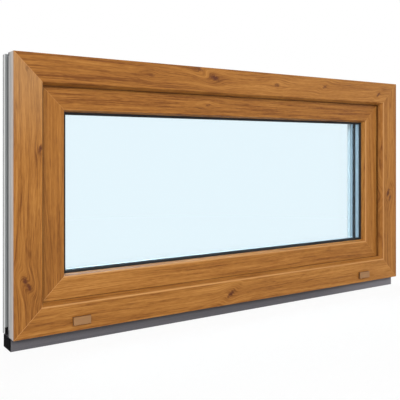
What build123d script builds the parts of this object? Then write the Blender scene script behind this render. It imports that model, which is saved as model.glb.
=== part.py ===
"""Fixed window: a triple glazed sash held shut in a mitred hollow-profile frame, on a base profile.

Sections are drawn in two coordinates: u runs from the frame's outer edge towards the glass, and
v from the weather face towards the room. The window stands on its base profile: X is the width,
+Y points into the room and Z is up. The origin is the middle of the base profile's underside.
"""

import os

from build123d import *

# Overall sizes of the window, in millimetres
WINDOW_WIDTH = 1300.0
WINDOW_HEIGHT = 650.0

# Frame section
FRAME_DEPTH = 82.0
FRAME_FACE = 66.0  # flat weather face, up to the rounded arris
LIP_HEIGHT = 73.5  # inner end of the lip that covers the sash
LIP_DEPTH = 18.0
LIP_STRAIGHT = 3.0  # unbevelled end of the lip
ROOM_FACE = 49.0  # height of the frame on the room side
DRAIN_FLOOR = 46.0  # lowest level of the rebate, behind the lip
DRAIN_WIDTH = 6.0
OUTER_WALL = 3.0
WEB = 1.8

# Grooves in the frame's outer edge
CLIP_FRONT = 37.0
CLIP_BACK = 65.0
CLIP_DEPTH = 7.5
CLIP_LIP = 3.0
CLIP_LIP_WALL = 2.6
SLOT_WIDTH = 2.5
SLOT_DEPTH = 3.0
FRONT_SLOT = 16.0
BACK_SLOT = 74.5

# Sash section
SASH_SETBACK = 22.0  # sash face behind the frame face
SASH_EDGE = 61.0
SASH_ARRIS = 127.0
SIGHT_LINE = 131.5  # end of the leg that holds the glass
BEVEL_DEPTH = 12.0
GLASS_FLOOR = 113.0
FLANGE_EDGE = 41.0
FLANGE_THICK = 19.0
ROOM_GAP = 3.0  # space for the room seal, between frame and flange
HARDWARE_WIDTH = 12.0
HARDWARE_DEPTH = 9.0
HARDWARE_SHOULDER = 6.0  # between the groove and the flange

# Glazing
PANE = 4.0
CAVITY = 16.0
GLAZING_GAP = 5.0  # space for each glazing gasket's lip
EDGE_GAP = 5.0  # between the glass edge and the floor of its rebate
SEAL_HEIGHT = 8.0
SPACER_HEIGHT = 7.5
SPACER_WALL = 0.8
BUTYL = 0.4

# Glazing bead
BEAD_GAP = 4.0
BEAD_WALL = 2.0
BEAD_ROUND = 6.0
FOOT_WIDTH = 3.0
FOOT_DEPTH = 2.6
FOOT_PLACE = 4.0
FIT = 0.25

# Gaskets
ROOT_WIDTH = 3.0
ROOT_DEPTH = 2.2
GASKET_LIP = 6.5
BEAD_LIP = 2.0

# Drainage
CAP_WIDTH = 44.0
CAP_HEIGHT = 19.0
CAP_DEPTH = 7.0
CAP_WALL = 1.6
CAP_LEVEL = 24.0
CAP_FROM_END = 162.0
DRAIN_SLOT = (30.0, 5.0)

# Base profile
BASE_HEIGHT = 30.0
BASE_FRONT = 22.0
BASE_BACK = 75.0
BASE_WALL = 2.6
TONGUE_RELIEF = 4.0  # the tongue stops this far short of each end

# Hidden blocks
BLOCK_LENGTH = 100.0
BLOCK_FROM_CORNER = 120.0
KEEP_LENGTH = 60.0

# Small edges
ROUND_SMALL = 1.2
ROUND_ARRIS = 2.0

# Worked out from the sizes above
FLANGE_BACK = FRAME_DEPTH + ROOM_GAP
SASH_BACK = FLANGE_BACK + FLANGE_THICK
HARDWARE_FRONT = FLANGE_BACK - HARDWARE_WIDTH - HARDWARE_SHOULDER
LEG_BACK = SASH_SETBACK + BEVEL_DEPTH + LIP_STRAIGHT
GLASS_FRONT = LEG_BACK + GLAZING_GAP
GLASS_DEPTH = 3 * PANE + 2 * CAVITY
GLASS_BACK = GLASS_FRONT + GLASS_DEPTH
GLASS_EDGE = GLASS_FLOOR + EDGE_GAP
BEAD_FRONT = GLASS_BACK + BEAD_GAP
BASE_MIDDLE = (BASE_FRONT + BASE_BACK) / 2
TONGUE_NECK = CLIP_LIP_WALL + FIT
TONGUE_TOP = CLIP_DEPTH - 2 * FIT

SECTION = Plane(origin=(0, 0, 0), x_dir=(0, 0, 1), z_dir=(-1, 0, 0))
REACH = 400.0


def outline(points, rounds=()):
    """A closed section through the points, with each (u, v, radius) in rounds as a fillet."""
    face = Sketch() + make_face(Polyline(*points, close=True))
    for u, v, radius in rounds:
        corner = face.vertices().sort_by_distance((u, v, 0))[0]
        face = fillet(corner, radius)
    return face


def box_section(u0, u1, v0, v1):
    """A rectangular section from two pairs of sides."""
    return outline([(u0, v0), (u1, v0), (u1, v1), (u0, v1)])


def bar(section, length):
    """The section as a bar along X, mitred at both ends, with u = 0 at Z = 0."""
    depth = section.bounding_box().max.X + 1
    low = section.bounding_box().min.X - 1
    half = length / 2
    mitre = make_face(Polyline(
        (-half + low, low), (half - low, low), (half - depth, depth), (-half + depth, depth), close=True))
    return extrude(SECTION * section, half - low, both=True) & extrude(Plane.XZ * mitre, REACH, both=True)


def place(shape, side):
    """Moves a bar, made along X, to its side of the window."""
    across = WINDOW_HEIGHT if side in ("bottom", "top") else WINDOW_WIDTH
    turn = {"bottom": 0, "left": 90, "top": 180, "right": -90}[side]
    centred = Pos(0, 0, -across / 2) * shape
    return Pos(0, -BASE_MIDDLE, BASE_HEIGHT + WINDOW_HEIGHT / 2) * Rot(0, turn, 0) * centred


def side_length(side):
    """The window's outer length along a side."""
    return WINDOW_WIDTH if side in ("bottom", "top") else WINDOW_HEIGHT


def member(section, side, cuts=None):
    """One mitred member of a rectangular frame, less any cuts made along X."""
    shape = bar(section, side_length(side))
    if cuts is not None:
        shape = shape - cuts
    return place(shape, side)


def ring(section):
    """The section carried round the window as one closed piece."""
    bottom, top, left, right = (member(section, side) for side in ("bottom", "top", "left", "right"))
    return bottom + left + top + right


def frame_section():
    """Section of the outer frame, with its grooves and chambers."""
    clip_mouth_front = CLIP_FRONT + CLIP_LIP
    clip_mouth_back = CLIP_BACK - CLIP_LIP
    body = outline(
        [
            (0, 0), (FRAME_FACE, 0), (LIP_HEIGHT, LIP_DEPTH - LIP_STRAIGHT), (LIP_HEIGHT, LIP_DEPTH),
            (DRAIN_FLOOR, LIP_DEPTH), (DRAIN_FLOOR, LIP_DEPTH + DRAIN_WIDTH),
            (ROOM_FACE, LIP_DEPTH + 2 * DRAIN_WIDTH), (ROOM_FACE, FRAME_DEPTH), (0, FRAME_DEPTH),
            (0, BACK_SLOT + SLOT_WIDTH), (SLOT_DEPTH, BACK_SLOT + SLOT_WIDTH), (SLOT_DEPTH, BACK_SLOT),
            (0, BACK_SLOT), (0, clip_mouth_back), (CLIP_LIP_WALL, clip_mouth_back),
            (CLIP_LIP_WALL, CLIP_BACK), (CLIP_DEPTH, CLIP_BACK), (CLIP_DEPTH, CLIP_FRONT),
            (CLIP_LIP_WALL, CLIP_FRONT), (CLIP_LIP_WALL, clip_mouth_front), (0, clip_mouth_front),
            (0, FRONT_SLOT + SLOT_WIDTH), (SLOT_DEPTH, FRONT_SLOT + SLOT_WIDTH), (SLOT_DEPTH, FRONT_SLOT),
            (0, FRONT_SLOT),
        ],
        rounds=[
            (0, 0, ROUND_SMALL), (FRAME_FACE, 0, ROUND_ARRIS), (0, FRAME_DEPTH, ROUND_SMALL),
            (ROOM_FACE, FRAME_DEPTH, ROUND_ARRIS), (LIP_HEIGHT, LIP_DEPTH - LIP_STRAIGHT, ROUND_ARRIS),
        ],
    )
    seal_front = LIP_DEPTH - ROOT_DEPTH
    seal_level = LIP_HEIGHT - 2 * ROOT_WIDTH
    floor = DRAIN_FLOOR - OUTER_WALL
    front_wall_back = FRONT_SLOT - WEB
    chambers = [
        box_section(OUTER_WALL, floor, OUTER_WALL, front_wall_back),
        outline([
            (DRAIN_FLOOR, OUTER_WALL), (FRAME_FACE - OUTER_WALL, OUTER_WALL),
            (LIP_HEIGHT - 2 * OUTER_WALL, seal_front - OUTER_WALL + WEB / 2),
            (DRAIN_FLOOR, seal_front - OUTER_WALL + WEB / 2)]),
        box_section(SLOT_DEPTH + OUTER_WALL, floor, FRONT_SLOT, CLIP_FRONT - WEB),
        box_section(CLIP_DEPTH + OUTER_WALL, ROOM_FACE - OUTER_WALL, CLIP_FRONT, CLIP_BACK),
        box_section(SLOT_DEPTH + OUTER_WALL, ROOM_FACE - OUTER_WALL, CLIP_BACK + WEB, FRAME_DEPTH - OUTER_WALL),
    ]
    root = box_section(seal_level, seal_level + ROOT_WIDTH, seal_front, LIP_DEPTH)
    section = body - root
    for chamber in chambers:
        section = section - chamber
    return section


def sash_section():
    """Section of the sash: weather leg, glass rebate, hardware groove and room-side flange."""
    hardware_back = HARDWARE_FRONT + HARDWARE_WIDTH
    body = outline(
        [
            (SASH_EDGE, SASH_SETBACK), (SASH_ARRIS, SASH_SETBACK), (SIGHT_LINE, SASH_SETBACK + BEVEL_DEPTH),
            (SIGHT_LINE, LEG_BACK), (GLASS_FLOOR, LEG_BACK), (GLASS_FLOOR, SASH_BACK),
            (FLANGE_EDGE, SASH_BACK), (FLANGE_EDGE, FLANGE_BACK), (SASH_EDGE, FLANGE_BACK),
            (SASH_EDGE, hardware_back), (SASH_EDGE + HARDWARE_DEPTH, hardware_back),
            (SASH_EDGE + HARDWARE_DEPTH, HARDWARE_FRONT), (SASH_EDGE, HARDWARE_FRONT),
        ],
        rounds=[
            (SASH_ARRIS, SASH_SETBACK, ROUND_ARRIS), (SIGHT_LINE, SASH_SETBACK + BEVEL_DEPTH, ROUND_ARRIS),
            (FLANGE_EDGE, SASH_BACK, ROUND_ARRIS),
        ],
    )
    floor = GLASS_FLOOR - OUTER_WALL
    foot_front = BEAD_FRONT + FOOT_PLACE
    middle = LEG_BACK + WEB / 2
    inner = SASH_EDGE + OUTER_WALL
    chambers = [
        box_section(inner, floor - WEB, SASH_SETBACK + OUTER_WALL, LEG_BACK - WEB / 2),
        outline([
            (floor, SASH_SETBACK + OUTER_WALL), (SASH_ARRIS - OUTER_WALL / 2, SASH_SETBACK + OUTER_WALL),
            (SIGHT_LINE - OUTER_WALL - WEB, LEG_BACK - ROOT_DEPTH - WEB), (floor, LEG_BACK - ROOT_DEPTH - WEB)]),
        box_section(inner, floor, middle, HARDWARE_FRONT - WEB),
        box_section(SASH_EDGE + HARDWARE_DEPTH + WEB, floor, HARDWARE_FRONT, FLANGE_BACK - WEB),
        box_section(FLANGE_EDGE + OUTER_WALL, floor - 2 * FOOT_DEPTH, FLANGE_BACK + OUTER_WALL,
                    SASH_BACK - OUTER_WALL),
    ]
    grooves = [
        box_section(GLASS_FLOOR - FOOT_DEPTH - FIT, GLASS_FLOOR, foot_front - FIT, foot_front + FOOT_WIDTH + FIT),
        box_section(SIGHT_LINE - 2 * ROOT_WIDTH, SIGHT_LINE - ROOT_WIDTH, LEG_BACK - ROOT_DEPTH, LEG_BACK),
        box_section(FLANGE_EDGE + ROOT_WIDTH, FLANGE_EDGE + 2 * ROOT_WIDTH, FLANGE_BACK, FLANGE_BACK + ROOT_DEPTH),
    ]
    section = body
    for hollow in chambers + grooves:
        section = section - hollow
    return section


def bead_section():
    """Section of a glazing bead, with the foot that snaps into the sash."""
    foot_front = BEAD_FRONT + FOOT_PLACE
    body = outline(
        [
            (GLASS_FLOOR, BEAD_FRONT), (SIGHT_LINE, BEAD_FRONT), (SIGHT_LINE, SASH_BACK),
            (GLASS_FLOOR, SASH_BACK), (GLASS_FLOOR, foot_front + FOOT_WIDTH),
            (GLASS_FLOOR - FOOT_DEPTH, foot_front + FOOT_WIDTH), (GLASS_FLOOR - FOOT_DEPTH, foot_front),
            (GLASS_FLOOR, foot_front),
        ],
        rounds=[(SIGHT_LINE, SASH_BACK, BEAD_ROUND)],
    )
    hollow = outline(
        [
            (GLASS_FLOOR + BEAD_WALL, BEAD_FRONT + BEAD_WALL), (SIGHT_LINE - BEAD_WALL, BEAD_FRONT + BEAD_WALL),
            (SIGHT_LINE - BEAD_WALL, SASH_BACK - BEAD_WALL), (GLASS_FLOOR + BEAD_WALL, SASH_BACK - BEAD_WALL),
        ],
        rounds=[(SIGHT_LINE - BEAD_WALL, SASH_BACK - BEAD_WALL, BEAD_ROUND - BEAD_WALL)],
    )
    return body - hollow


def base_section():
    """Section of the base profile, drawn below u = 0, with the tongue that clips into the frame."""
    neck_front = CLIP_FRONT + CLIP_LIP + FIT
    neck_back = CLIP_BACK - CLIP_LIP - FIT
    head_front = CLIP_FRONT + CLIP_LIP / 2
    head_back = CLIP_BACK - CLIP_LIP / 2
    body = outline([
        (-BASE_HEIGHT, BASE_FRONT), (0, BASE_FRONT), (0, neck_front), (TONGUE_NECK, neck_front),
        (TONGUE_NECK, head_front), (TONGUE_TOP, neck_front), (TONGUE_TOP, neck_back), (TONGUE_NECK, head_back),
        (TONGUE_NECK, neck_back), (0, neck_back), (0, BASE_BACK), (-BASE_HEIGHT, BASE_BACK),
    ])
    floor = -BASE_HEIGHT + BASE_WALL
    roof = -BASE_WALL
    third = (neck_back - neck_front - BASE_WALL) / 2
    hollows = [
        box_section(floor, roof, BASE_FRONT + BASE_WALL, neck_front - WEB / 2),
        box_section(floor, roof, neck_front + WEB / 2, neck_front + third),
        box_section(floor, roof, neck_back - third, neck_back - WEB / 2),
        box_section(floor, roof, neck_back + WEB / 2, BASE_BACK - BASE_WALL),
        box_section(0, TONGUE_TOP - BASE_WALL / 2, neck_front + BASE_WALL, neck_back - BASE_WALL),
    ]
    section = body
    for hollow in hollows:
        section = section - hollow
    return section


def base_profile():
    """The base profile, flush with the frame's ends, its tongue cut back a little at both of them."""
    shape = extrude(SECTION * base_section(), WINDOW_WIDTH / 2, both=True)
    for end in (-1, 1):
        shape = shape - Pos(end * WINDOW_WIDTH / 2, FRAME_DEPTH / 2, CLIP_DEPTH / 2) * Box(
            2 * TONGUE_RELIEF, FRAME_DEPTH, CLIP_DEPTH)
    return place(shape, "bottom")


def glazing_gasket_section():
    """Weather-side glazing gasket, rooted in the sash leg, with its lip on the glass."""
    root_inner = SIGHT_LINE - ROOT_WIDTH
    return outline([
        (root_inner - ROOT_WIDTH, LEG_BACK - ROOT_DEPTH), (root_inner, LEG_BACK - ROOT_DEPTH),
        (root_inner, LEG_BACK), (SIGHT_LINE, LEG_BACK), (SIGHT_LINE + GASKET_LIP, GLASS_FRONT - PANE / 4),
        (SIGHT_LINE + GASKET_LIP, GLASS_FRONT), (root_inner - 2 * ROOT_WIDTH, GLASS_FRONT),
        (root_inner - ROOT_WIDTH, LEG_BACK),
    ])


def bead_gasket_section():
    """Room-side glazing gasket, between the bead and the glass."""
    return outline([
        (SIGHT_LINE - 2 * ROOT_WIDTH, GLASS_BACK), (SIGHT_LINE + BEAD_LIP, GLASS_BACK),
        (SIGHT_LINE + BEAD_LIP, GLASS_BACK + PANE / 4), (SIGHT_LINE, BEAD_FRONT),
        (SIGHT_LINE - 2 * ROOT_WIDTH, BEAD_FRONT),
    ])


def frame_seal_section():
    """Weather seal, rooted in the frame's lip and pressed by the sash."""
    root = LIP_HEIGHT - 2 * ROOT_WIDTH
    return outline([
        (root, LIP_DEPTH - ROOT_DEPTH), (root + ROOT_WIDTH, LIP_DEPTH - ROOT_DEPTH),
        (root + ROOT_WIDTH, LIP_DEPTH), (LIP_HEIGHT, LIP_DEPTH), (LIP_HEIGHT, SASH_SETBACK),
        (root - ROOT_WIDTH / 2, SASH_SETBACK), (root, LIP_DEPTH),
    ])


def sash_seal_section():
    """Room seal, rooted in the sash flange and pressed on the frame."""
    root = FLANGE_EDGE + ROOT_WIDTH
    return outline([
        (root, FLANGE_BACK + ROOT_DEPTH), (root, FLANGE_BACK), (root - ROOT_WIDTH / 2, FRAME_DEPTH),
        (root + ROOT_WIDTH, FRAME_DEPTH), (root + ROOT_WIDTH, FLANGE_BACK + ROOT_DEPTH),
    ])


def pane(index):
    """One of the three panes, counted from the weather side."""
    front = GLASS_FRONT + index * (PANE + CAVITY)
    width = WINDOW_WIDTH - 2 * GLASS_EDGE
    height = WINDOW_HEIGHT - 2 * GLASS_EDGE
    middle = BASE_HEIGHT + WINDOW_HEIGHT / 2
    return Pos(0, front + PANE / 2 - BASE_MIDDLE, middle) * Box(width, PANE, height)


def spacer_section(cavity):
    """Hollow spacer bar in one of the two cavities."""
    front = GLASS_FRONT + PANE + cavity * (PANE + CAVITY)
    low = GLASS_EDGE + SEAL_HEIGHT
    high = low + SPACER_HEIGHT
    body = box_section(low, high, front + BUTYL, front + CAVITY - BUTYL)
    wall = BUTYL + SPACER_WALL
    return body - box_section(low + SPACER_WALL, high - SPACER_WALL, front + wall, front + CAVITY - wall)


def edge_seal_section(cavity):
    """Dark sealant behind a spacer, with its thin strips up both of the spacer's sides."""
    front = GLASS_FRONT + PANE + cavity * (PANE + CAVITY)
    low = GLASS_EDGE + SEAL_HEIGHT
    high = low + SPACER_HEIGHT
    body = box_section(GLASS_EDGE, high, front, front + CAVITY)
    return body - box_section(low, high, front + BUTYL, front + CAVITY - BUTYL)


def drain_cuts():
    """Drain slots through the frame's weather wall and its rebate floor, made along X."""
    length, height = DRAIN_SLOT
    cuts = None
    for end in (-1, 1):
        x = end * (WINDOW_WIDTH / 2 - CAP_FROM_END)
        face_slot = Pos(x, 0, CAP_LEVEL) * Box(length, 2 * FRONT_SLOT + OUTER_WALL, height)
        floor_slot = Pos(x + end * length, LIP_DEPTH + DRAIN_WIDTH / 2, DRAIN_FLOOR) * Box(
            length, height, 4 * OUTER_WALL)
        cuts = face_slot + floor_slot if cuts is None else cuts + face_slot + floor_slot
    return cuts


def drain_cap(end):
    """A hooded cap over one face slot, open at its lower side, with its plug in the slot."""
    length, height = DRAIN_SLOT
    hood = Box(CAP_WIDTH, CAP_DEPTH, CAP_HEIGHT)
    hood = fillet(hood.edges().group_by(Axis.Y)[0], ROUND_SMALL)
    inside = Pos(0, CAP_WALL / 2, -CAP_WALL) * Box(
        CAP_WIDTH - 2 * CAP_WALL, CAP_DEPTH - CAP_WALL, CAP_HEIGHT)
    plug = Pos(0, CAP_DEPTH / 2 + OUTER_WALL / 2, 0) * Box(length - 2 * FIT, OUTER_WALL, height - 2 * FIT)
    post = Pos(0, CAP_WALL / 2, 0) * Box(length / 2, CAP_DEPTH - CAP_WALL, height - 2 * FIT)
    shape = hood - inside + plug + post
    x = end * (WINDOW_WIDTH / 2 - CAP_FROM_END)
    return place(Pos(x, -CAP_DEPTH / 2, CAP_LEVEL) * shape, "bottom")


def setting_block(end):
    """A block under the glass, on the floor of the sash rebate."""
    x = end * (WINDOW_WIDTH / 2 - GLASS_EDGE - BLOCK_FROM_CORNER)
    block = Pos(x, (GLASS_FRONT + GLASS_BACK) / 2, GLASS_FLOOR + EDGE_GAP / 2) * Box(
        BLOCK_LENGTH, GLASS_DEPTH, EDGE_GAP)
    return place(block, "bottom")


def keep_block(side, x):
    """A block that holds the sash shut: it stands in the frame's rebate and enters the hardware groove."""
    keep = outline([
        (ROOM_FACE, HARDWARE_FRONT - HARDWARE_WIDTH), (SASH_EDGE - FIT, HARDWARE_FRONT - HARDWARE_WIDTH),
        (SASH_EDGE - FIT, HARDWARE_FRONT + FIT), (SASH_EDGE + HARDWARE_DEPTH - 1, HARDWARE_FRONT + FIT),
        (SASH_EDGE + HARDWARE_DEPTH - 1, HARDWARE_FRONT + HARDWARE_WIDTH - FIT),
        (ROOM_FACE, HARDWARE_FRONT + HARDWARE_WIDTH - FIT),
    ])
    return place(Pos(x, 0, 0) * extrude(SECTION * keep, KEEP_LENGTH / 2, both=True), side)


def build():
    """Every named piece of the window."""
    pieces = {}
    frame_names = {"bottom": "frame_sill", "top": "frame_head", "left": "frame_jamb_left", "right": "frame_jamb_right"}
    sash_names = {
        "bottom": "sash_bottom_rail", "top": "sash_top_rail",
        "left": "sash_stile_left", "right": "sash_stile_right",
    }
    for side, name in frame_names.items():
        pieces[name] = member(frame_section(), side, drain_cuts() if side == "bottom" else None)
    for side, name in sash_names.items():
        pieces[name] = member(sash_section(), side)
    for side in frame_names:
        pieces["bead_" + side] = member(bead_section(), side)
    for index, name in enumerate(("glass_outer", "glass_middle", "glass_inner")):
        pieces[name] = pane(index)
    for cavity, name in enumerate(("outer", "inner")):
        pieces["spacer_" + name] = ring(spacer_section(cavity))
        pieces["edge_seal_" + name] = ring(edge_seal_section(cavity))
    pieces["gasket_glass_weather"] = ring(glazing_gasket_section())
    pieces["gasket_glass_room"] = ring(bead_gasket_section())
    pieces["gasket_frame"] = ring(frame_seal_section())
    pieces["gasket_sash"] = ring(sash_seal_section())
    pieces["base_profile"] = base_profile()
    for end, name in ((-1, "left"), (1, "right")):
        pieces["drain_cap_" + name] = drain_cap(end)
        pieces["setting_block_" + name] = setting_block(end)
        corner = end * (WINDOW_WIDTH / 2 - LIP_HEIGHT - BLOCK_FROM_CORNER)
        pieces["keep_bottom_" + name] = keep_block("bottom", corner)
        pieces["keep_top_" + name] = keep_block("top", -corner)
        pieces["keep_side_" + name] = keep_block(name, 0)
    return pieces


def main():
    """Writes each piece to its own STEP file."""
    os.makedirs("parts", exist_ok=True)
    for name, shape in build().items():
        export_step(shape, f"parts/{name}.step")


main()
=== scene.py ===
"""Looks of the fixed window: wood-grain film, white profile, glass, seals and a plain studio.

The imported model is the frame. Lengths are in metres, in the model's own axes: X along the width,
Y from the weather side into the room, Z up, with the floor at Z = 0. Two coordinates describe the
profiles: inset runs from the frame's outer edge towards the glass, and depth from the weather face
towards the room.
"""

import logging
import math
from dataclasses import dataclass
from enum import Enum
from typing import Mapping, Optional, Sequence, Union

import bpy
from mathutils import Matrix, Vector

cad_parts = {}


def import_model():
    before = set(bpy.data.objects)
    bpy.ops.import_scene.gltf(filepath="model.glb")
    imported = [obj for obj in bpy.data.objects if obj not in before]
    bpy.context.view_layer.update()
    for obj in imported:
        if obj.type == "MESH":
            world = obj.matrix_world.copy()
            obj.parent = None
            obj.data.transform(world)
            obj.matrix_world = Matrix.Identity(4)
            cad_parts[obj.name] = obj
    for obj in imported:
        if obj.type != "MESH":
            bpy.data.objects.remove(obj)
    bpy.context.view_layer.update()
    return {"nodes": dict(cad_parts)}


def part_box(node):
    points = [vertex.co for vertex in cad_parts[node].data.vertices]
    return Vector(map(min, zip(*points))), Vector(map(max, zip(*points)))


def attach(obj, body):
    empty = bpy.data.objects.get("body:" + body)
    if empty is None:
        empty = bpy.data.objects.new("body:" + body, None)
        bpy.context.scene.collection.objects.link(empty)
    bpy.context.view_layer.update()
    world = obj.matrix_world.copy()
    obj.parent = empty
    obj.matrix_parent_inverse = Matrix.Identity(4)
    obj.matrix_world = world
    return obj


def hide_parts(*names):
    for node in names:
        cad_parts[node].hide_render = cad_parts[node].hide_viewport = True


LOG = logging.getLogger("fixed_window")
BODY = "root"
MM = 0.001

Colour = tuple[float, float, float]
Value = Union["Signal", float, Sequence[float]]
Inputs = Mapping[Union[str, int], Value]
Nodes = Mapping[str, bpy.types.Object]


class Signal:
    """An output socket of a shader node, with arithmetic on numbers."""

    def __init__(self, shader: "Shader", socket: bpy.types.NodeSocket) -> None:
        """Wraps one socket.

        Args:
            shader: The node tree that the socket belongs to.
            socket: The output socket.
        """
        self.shader = shader
        self.socket = socket

    def __add__(self, other: Value) -> "Signal":
        """Sum."""
        return self.shader.math("ADD", self, other)

    __radd__ = __add__

    def __sub__(self, other: Value) -> "Signal":
        """Difference."""
        return self.shader.math("SUBTRACT", self, other)

    def __rsub__(self, other: Value) -> "Signal":
        """Difference, with the number first."""
        return self.shader.math("SUBTRACT", other, self)

    def __mul__(self, other: Value) -> "Signal":
        """Product."""
        return self.shader.math("MULTIPLY", self, other)

    __rmul__ = __mul__

    def __truediv__(self, other: Value) -> "Signal":
        """Quotient."""
        return self.shader.math("DIVIDE", self, other)

    def __abs__(self) -> "Signal":
        """Size without sign."""
        return self.shader.math("ABSOLUTE", self)

    def exp(self) -> "Signal":
        """The natural exponential."""
        return self.shader.math("EXPONENT", self)

    def least(self, other: Value) -> "Signal":
        """The smaller of two numbers."""
        return self.shader.math("MINIMUM", self, other)

    def most(self, other: Value) -> "Signal":
        """The larger of two numbers."""
        return self.shader.math("MAXIMUM", self, other)

    def above(self, low: float, high: float) -> "Signal":
        """A smooth step up, from 0 at low to 1 at high."""
        inputs = {"Value": self, "From Min": low, "From Max": high}
        return self.shader.node("MapRange", inputs, interpolation_type="SMOOTHSTEP")

    def below(self, low: float, high: float) -> "Signal":
        """A smooth step down, from 1 at low to 0 at high."""
        return 1.0 - self.above(low, high)

    def within(self, low: float, high: float, soft: float) -> "Signal":
        """A band, 1 between low and high and 0 outside, with soft edges inside it."""
        return self.above(low, low + soft) * self.below(high - soft, high)


class Shader:
    """A material's or the world's node tree, written as expressions."""

    def __init__(self, name: str, world: Optional[bpy.types.World] = None) -> None:
        """Makes an empty material, or empties a world.

        Args:
            name: The material's name.
            world: A world to work on in place of a new material.
        """
        self.owner = world or bpy.data.materials.new(name)
        self.owner.use_nodes = True
        self.tree = self.owner.node_tree
        self.tree.nodes.clear()

    def node(self, kind: str, inputs: Optional[Inputs] = None, output: Union[str, int] = 0,
             **settings: str) -> Signal:
        """Adds any node.

        Args:
            kind: The node's type, without the ShaderNode at its start.
            inputs: Values or signals for its input sockets, by name or place.
            output: The output socket to return, by name or place.
            settings: The node's own properties, set before its sockets.

        Returns:
            The chosen output.
        """
        made = self.tree.nodes.new("ShaderNode" + kind)
        for key, value in settings.items():
            setattr(made, key, value)
        for key, value in (inputs or {}).items():
            if isinstance(value, Signal):
                self.tree.links.new(value.socket, made.inputs[key])
            else:
                made.inputs[key].default_value = value
        return Signal(self, made.outputs[output])

    def math(self, operation: str, first: Value, second: Value = 0.0) -> Signal:
        """A Math node on one or two numbers."""
        return self.node("Math", {0: first, 1: second}, operation=operation)

    def place(self) -> tuple[Signal, Signal, Signal]:
        """The point being shaded.

        Returns:
            Its X, Y and Z, in the model's own axes.
        """
        point = self.node("TexCoord", output="Object")
        parts = self.node("SeparateXYZ", {0: point}).socket.node.outputs
        return Signal(self, parts[0]), Signal(self, parts[1]), Signal(self, parts[2])

    def ramp(self, value: Signal, stops: Sequence[tuple[float, Colour]]) -> Signal:
        """A colour ramp.

        Args:
            value: The place on the ramp.
            stops: Place and colour of each stop, in order.

        Returns:
            The colour.
        """
        made = self.node("ValToRGB", {0: value})
        elements = made.socket.node.color_ramp.elements
        for _ in range(len(stops) - len(elements)):
            elements.new(0.5)
        for element, (place, colour) in zip(elements, stops):
            element.position = place
            element.color = (*colour, 1.0)
        return made

    def blend(self, share: Value, first: Value, second: Value) -> Signal:
        """Mixes two colours.

        Args:
            share: How much of the second colour, from 0 to 1.
            first: A colour or a signal.
            second: A colour or a signal.

        Returns:
            The mixed colour.
        """
        def padded(colour: Value) -> Value:
            """Gives a plain colour its alpha."""
            return colour if isinstance(colour, Signal) else (*colour, 1.0)

        inputs = {0: share, 6: padded(first), 7: padded(second)}
        return self.node("Mix", inputs, 2, data_type="RGBA")

    def bump(self, height: Signal, depth: float) -> Signal:
        """A normal that follows a height from 0 to 1, of which 1 stands for the depth in metres."""
        return self.node("Bump", {"Height": height, "Distance": depth})

    def surface(self, inputs: Inputs) -> Signal:
        """A Principled shader."""
        return self.node("BsdfPrincipled", inputs)

    def mix(self, share: Value, first: Signal, second: Signal) -> Signal:
        """Mixes two surfaces, with a share of the second from 0 to 1."""
        return self.node("MixShader", {0: share, 1: first, 2: second})

    def finish(self, surface: Signal) -> bpy.types.Material:
        """Connects the surface and returns the material."""
        self.end("OutputMaterial", surface)
        return self.owner

    def end(self, kind: str, surface: Signal) -> None:
        """Connects the surface to an output node."""
        end = self.tree.nodes.new("ShaderNode" + kind)
        self.tree.links.new(surface.socket, end.inputs["Surface"])


@dataclass(frozen=True)
class Noise:
    """Noise of one fineness.

    Attributes:
        scale: Features in a metre, for each coordinate.
        detail: Octaves of finer noise.
        roughness: How strong the finer octaves are.
        offset: What sets it apart from other noise with the same seed.
        weight: How strongly it counts.
    """

    scale: tuple[float, ...]
    detail: float = 2.0
    roughness: float = 0.5
    offset: float = 0.0
    weight: float = 1.0

    def at(self, shader: Shader, point: Sequence[Signal], seed: Optional[float] = None) -> Signal:
        """Noise at a point.

        Args:
            shader: The node tree.
            point: Three coordinates, or two with a seed.
            seed: What stands in for the third coordinate.

        Returns:
            A number round 0.5.
        """
        parts = [part * scale for part, scale in zip(point, self.scale)]
        if seed is not None:
            parts.append(seed + self.offset)
        vector = shader.node("CombineXYZ", dict(enumerate(parts)))
        return shader.node("TexNoise", {
            "Vector": vector, "Scale": 1.0, "Detail": self.detail, "Roughness": self.roughness})

    def swing(self, noise: Signal) -> Signal:
        """The noise round 0, by its weight."""
        return (noise - 0.5) * self.weight


class Grain(Enum):
    """The way a profile runs, which the film's grain follows."""

    WIDTH = "along X"
    HEIGHT = "along Z"


@dataclass(frozen=True)
class Knot:
    """A knot in the film.

    Attributes:
        along: Its place along the member, in metres.
        across: Its place across the member.
        radius: Its radius across the grain.
        lean: How far it leans to one side, for each metre along.
        dark: How dark it is, from 0 to 1.
    """

    along: float
    across: float
    radius: float = 0.006
    lean: float = 0.0
    dark: float = 1.0


@dataclass(frozen=True)
class Member:
    """One mitred length of profile.

    Attributes:
        grain: The way it runs.
        seed: Offset that gives it its own piece of film.
        lift: How much paler than the others its film is.
        drift: How much paler its film grows over a metre, along the grain.
        faded: How far the light has bleached its far end.
        contrast: How strongly its grain shows.
        seam: How strongly painted shade darkens the film on the frame lip's return, down towards the sash.
        rim_shade: How strongly painted shade darkens the film along the outer edge.
        sash: True on a sash member, whose film covers its glazing leg.
        arris_highlight: True where a painted highlight makes the film paler on the arris.
        cap_shadowed: True on the sill, where painted shadow darkens the film round and below its drain
            caps.
        knots: Its knots.
    """

    grain: Grain
    seed: float
    lift: float = 0.0
    drift: float = 0.0
    faded: float = 0.0
    contrast: float = 1.05
    seam: float = 0.0
    rim_shade: float = 0.0
    sash: bool = False
    arris_highlight: bool = False
    cap_shadowed: bool = False
    knots: tuple[Knot, ...] = ()


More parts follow.
